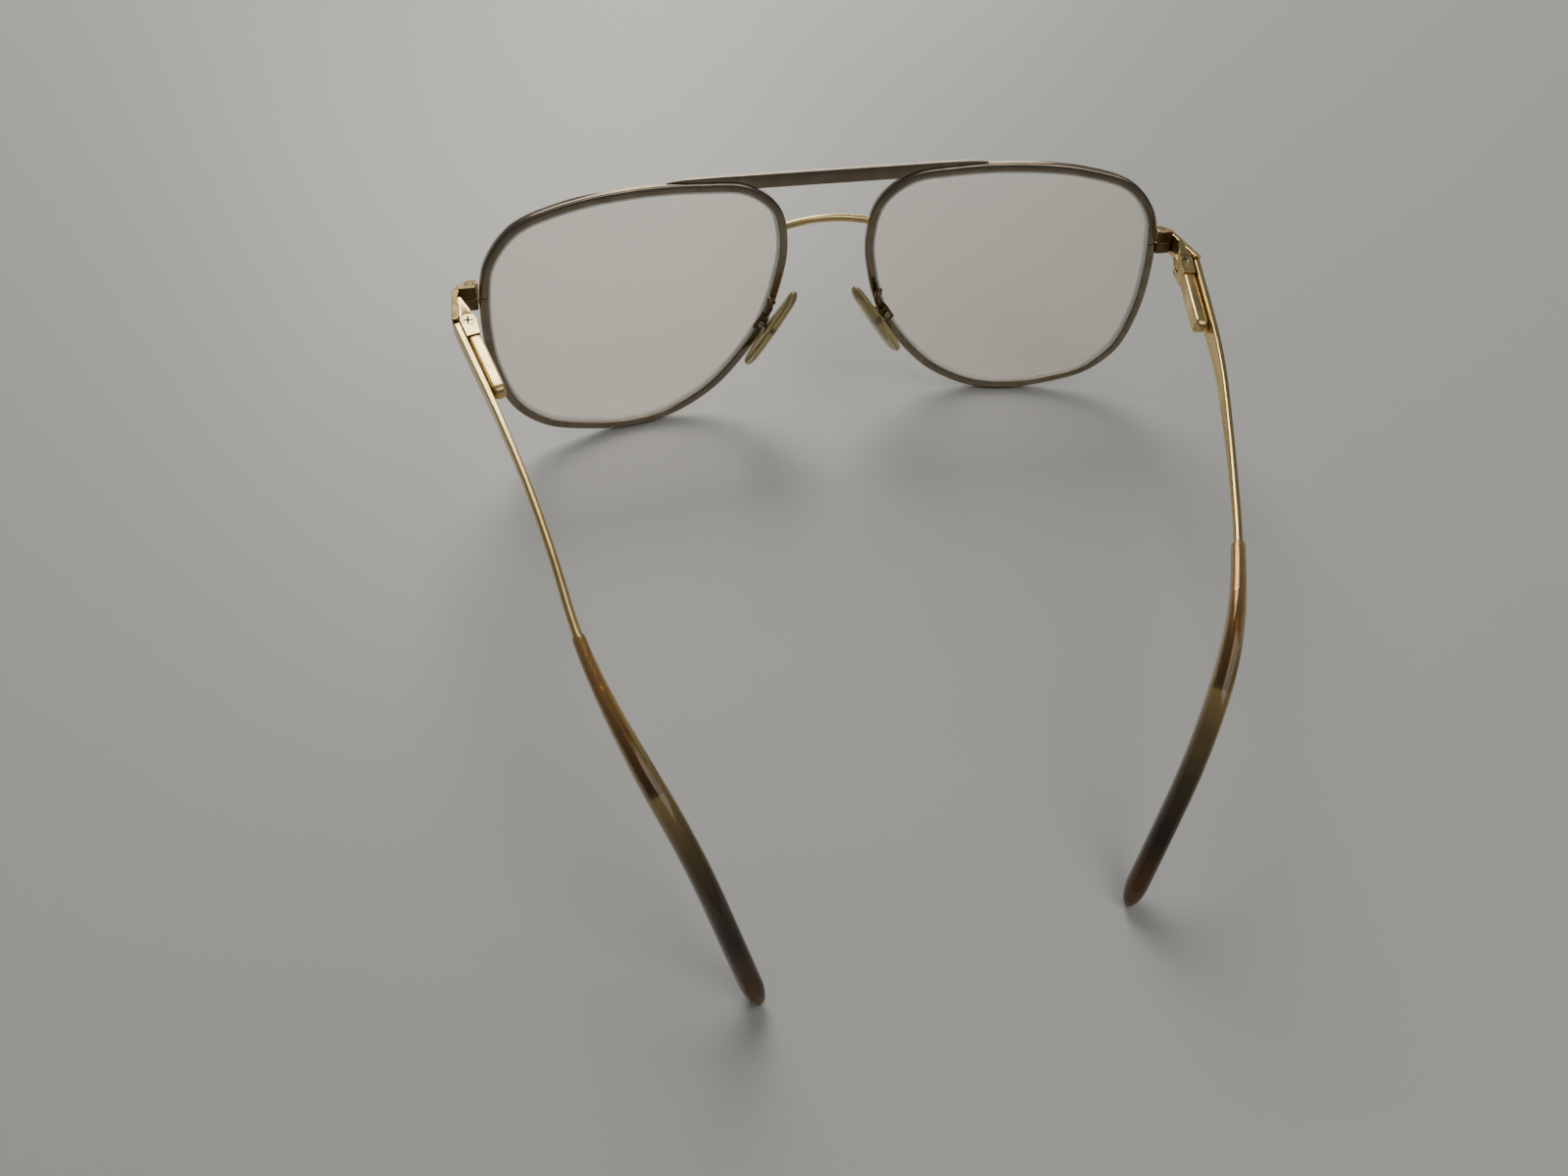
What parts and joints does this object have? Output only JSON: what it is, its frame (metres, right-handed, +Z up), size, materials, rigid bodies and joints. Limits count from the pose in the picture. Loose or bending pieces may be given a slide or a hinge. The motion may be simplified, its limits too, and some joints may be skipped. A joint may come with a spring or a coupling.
{
  "type": "metal-framed aviator spectacles",
  "caption": "Thin metal aviator frame with teardrop rims, brow bar, rocking nose pads, sprung folding arms and acetate tips; holds curved lenses before the eyes.",
  "frame": {"origin": "on the table, under the middle of the space the spectacles take up", "axes": "+Z up as the spectacles stand on a table, the front faces -Y, the arms run to +Y, +X is the wearer's left"},
  "size_m": [0.1408, 0.1334, 0.0477],
  "materials": {
    "gold": "polished pale gold plating",
    "dark_gold": "polished, darkened gold plating",
    "steel": "bright",
    "lens": "clear with a light warm tint, polished",
    "pad": "aged translucent, smooth",
    "acetate": "polished translucent amber-olive"
  },
  "bodies": {
    "front": {"brow_bar": "gold", "bridge_wire": "gold", "rim_left": "gold", "lens_left": "lens", "pad_arm_left": "gold", "pad_box_left": "dark_gold", "pad_screw_left": "steel", "end_piece_left": "gold", "closing_block_upper_left": "gold", "closing_block_lower_left": "gold", "rim_screw_left": "steel", "hinge_leaf_left": "gold", "rim_right": "gold", "lens_right": "lens", "pad_arm_right": "gold", "pad_box_right": "dark_gold", "pad_screw_right": "steel", "end_piece_right": "gold", "closing_block_upper_right": "gold", "closing_block_lower_right": "gold", "rim_screw_right": "steel", "hinge_leaf_right": "gold"},
    "pin_left": {"hinge_screw_left": "steel"},
    "hinge_head_left": {"hinge_head_left": "gold"},
    "arm_left": {"arm_left": "gold", "arm_tip_left": "acetate", "spring_box_left": "gold", "spring_washer_left": "steel", "hinge_spring_left": "steel"},
    "nose_pad_left": {"nose_pad_left": "pad"},
    "pin_right": {"hinge_screw_right": "steel"},
    "hinge_head_right": {"hinge_head_right": "gold"},
    "arm_right": {"arm_right": "gold", "arm_tip_right": "acetate", "spring_box_right": "gold", "spring_washer_right": "steel", "hinge_spring_right": "steel"},
    "nose_pad_right": {"nose_pad_right": "pad"}
  },
  "joints": [
    {"name": "left_arm_flex", "type": "hinge", "parent": "front", "child": "pin_left", "pos_m": [0.06774, -0.0477, 0.03382], "axis": [0, 0.0229, 0.9997], "range_deg": [-10, 0], "stiffness_Nm_per_rad": 0.1},
    {"name": "left_arm_fold", "type": "hinge", "parent": "pin_left", "child": "hinge_head_left", "pos_m": [0.06774, -0.0477, 0.03382], "axis": [0, 0.0229, 0.9997], "range_deg": [-3.4, 64]},
    {"name": "left_spring_travel", "type": "slide", "parent": "hinge_head_left", "child": "arm_left", "axis": [-0.2554, 0.9666, -0.0221], "range_m": [0, 0.0006], "deforming": ["hinge_spring_left"]},
    {"name": "left_pad_rock", "type": "hinge", "parent": "front", "child": "nose_pad_left", "pos_m": [0.01326, -0.05633, 0.02067], "axis": [0.2835, 0.8582, 0.4279], "range_deg": [-5, 8]},
    {"name": "right_arm_flex", "type": "hinge", "parent": "front", "child": "pin_right", "pos_m": [-0.06774, -0.0477, 0.03382], "axis": [0, -0.0229, -0.9997], "range_deg": [-10, 0], "stiffness_Nm_per_rad": 0.1},
    {"name": "right_arm_fold", "type": "hinge", "parent": "pin_right", "child": "hinge_head_right", "pos_m": [-0.06774, -0.0477, 0.03382], "axis": [0, -0.0229, -0.9997], "range_deg": [0, 68]},
    {"name": "right_spring_travel", "type": "slide", "parent": "hinge_head_right", "child": "arm_right", "axis": [0.1977, 0.98, -0.0224], "range_m": [0, 0.0006], "deforming": ["hinge_spring_right"]},
    {"name": "right_pad_rock", "type": "hinge", "parent": "front", "child": "nose_pad_right", "pos_m": [-0.01144, -0.05598, 0.02082], "axis": [0.144, -0.9261, -0.3487], "range_deg": [-5, 8]}
  ],
  "couplings": [
    {"joint": "left_spring_travel", "follows": "left_arm_flex", "m_per_rad": -0.003},
    {"joint": "right_spring_travel", "follows": "right_arm_flex", "m_per_rad": -0.003}
  ]
}
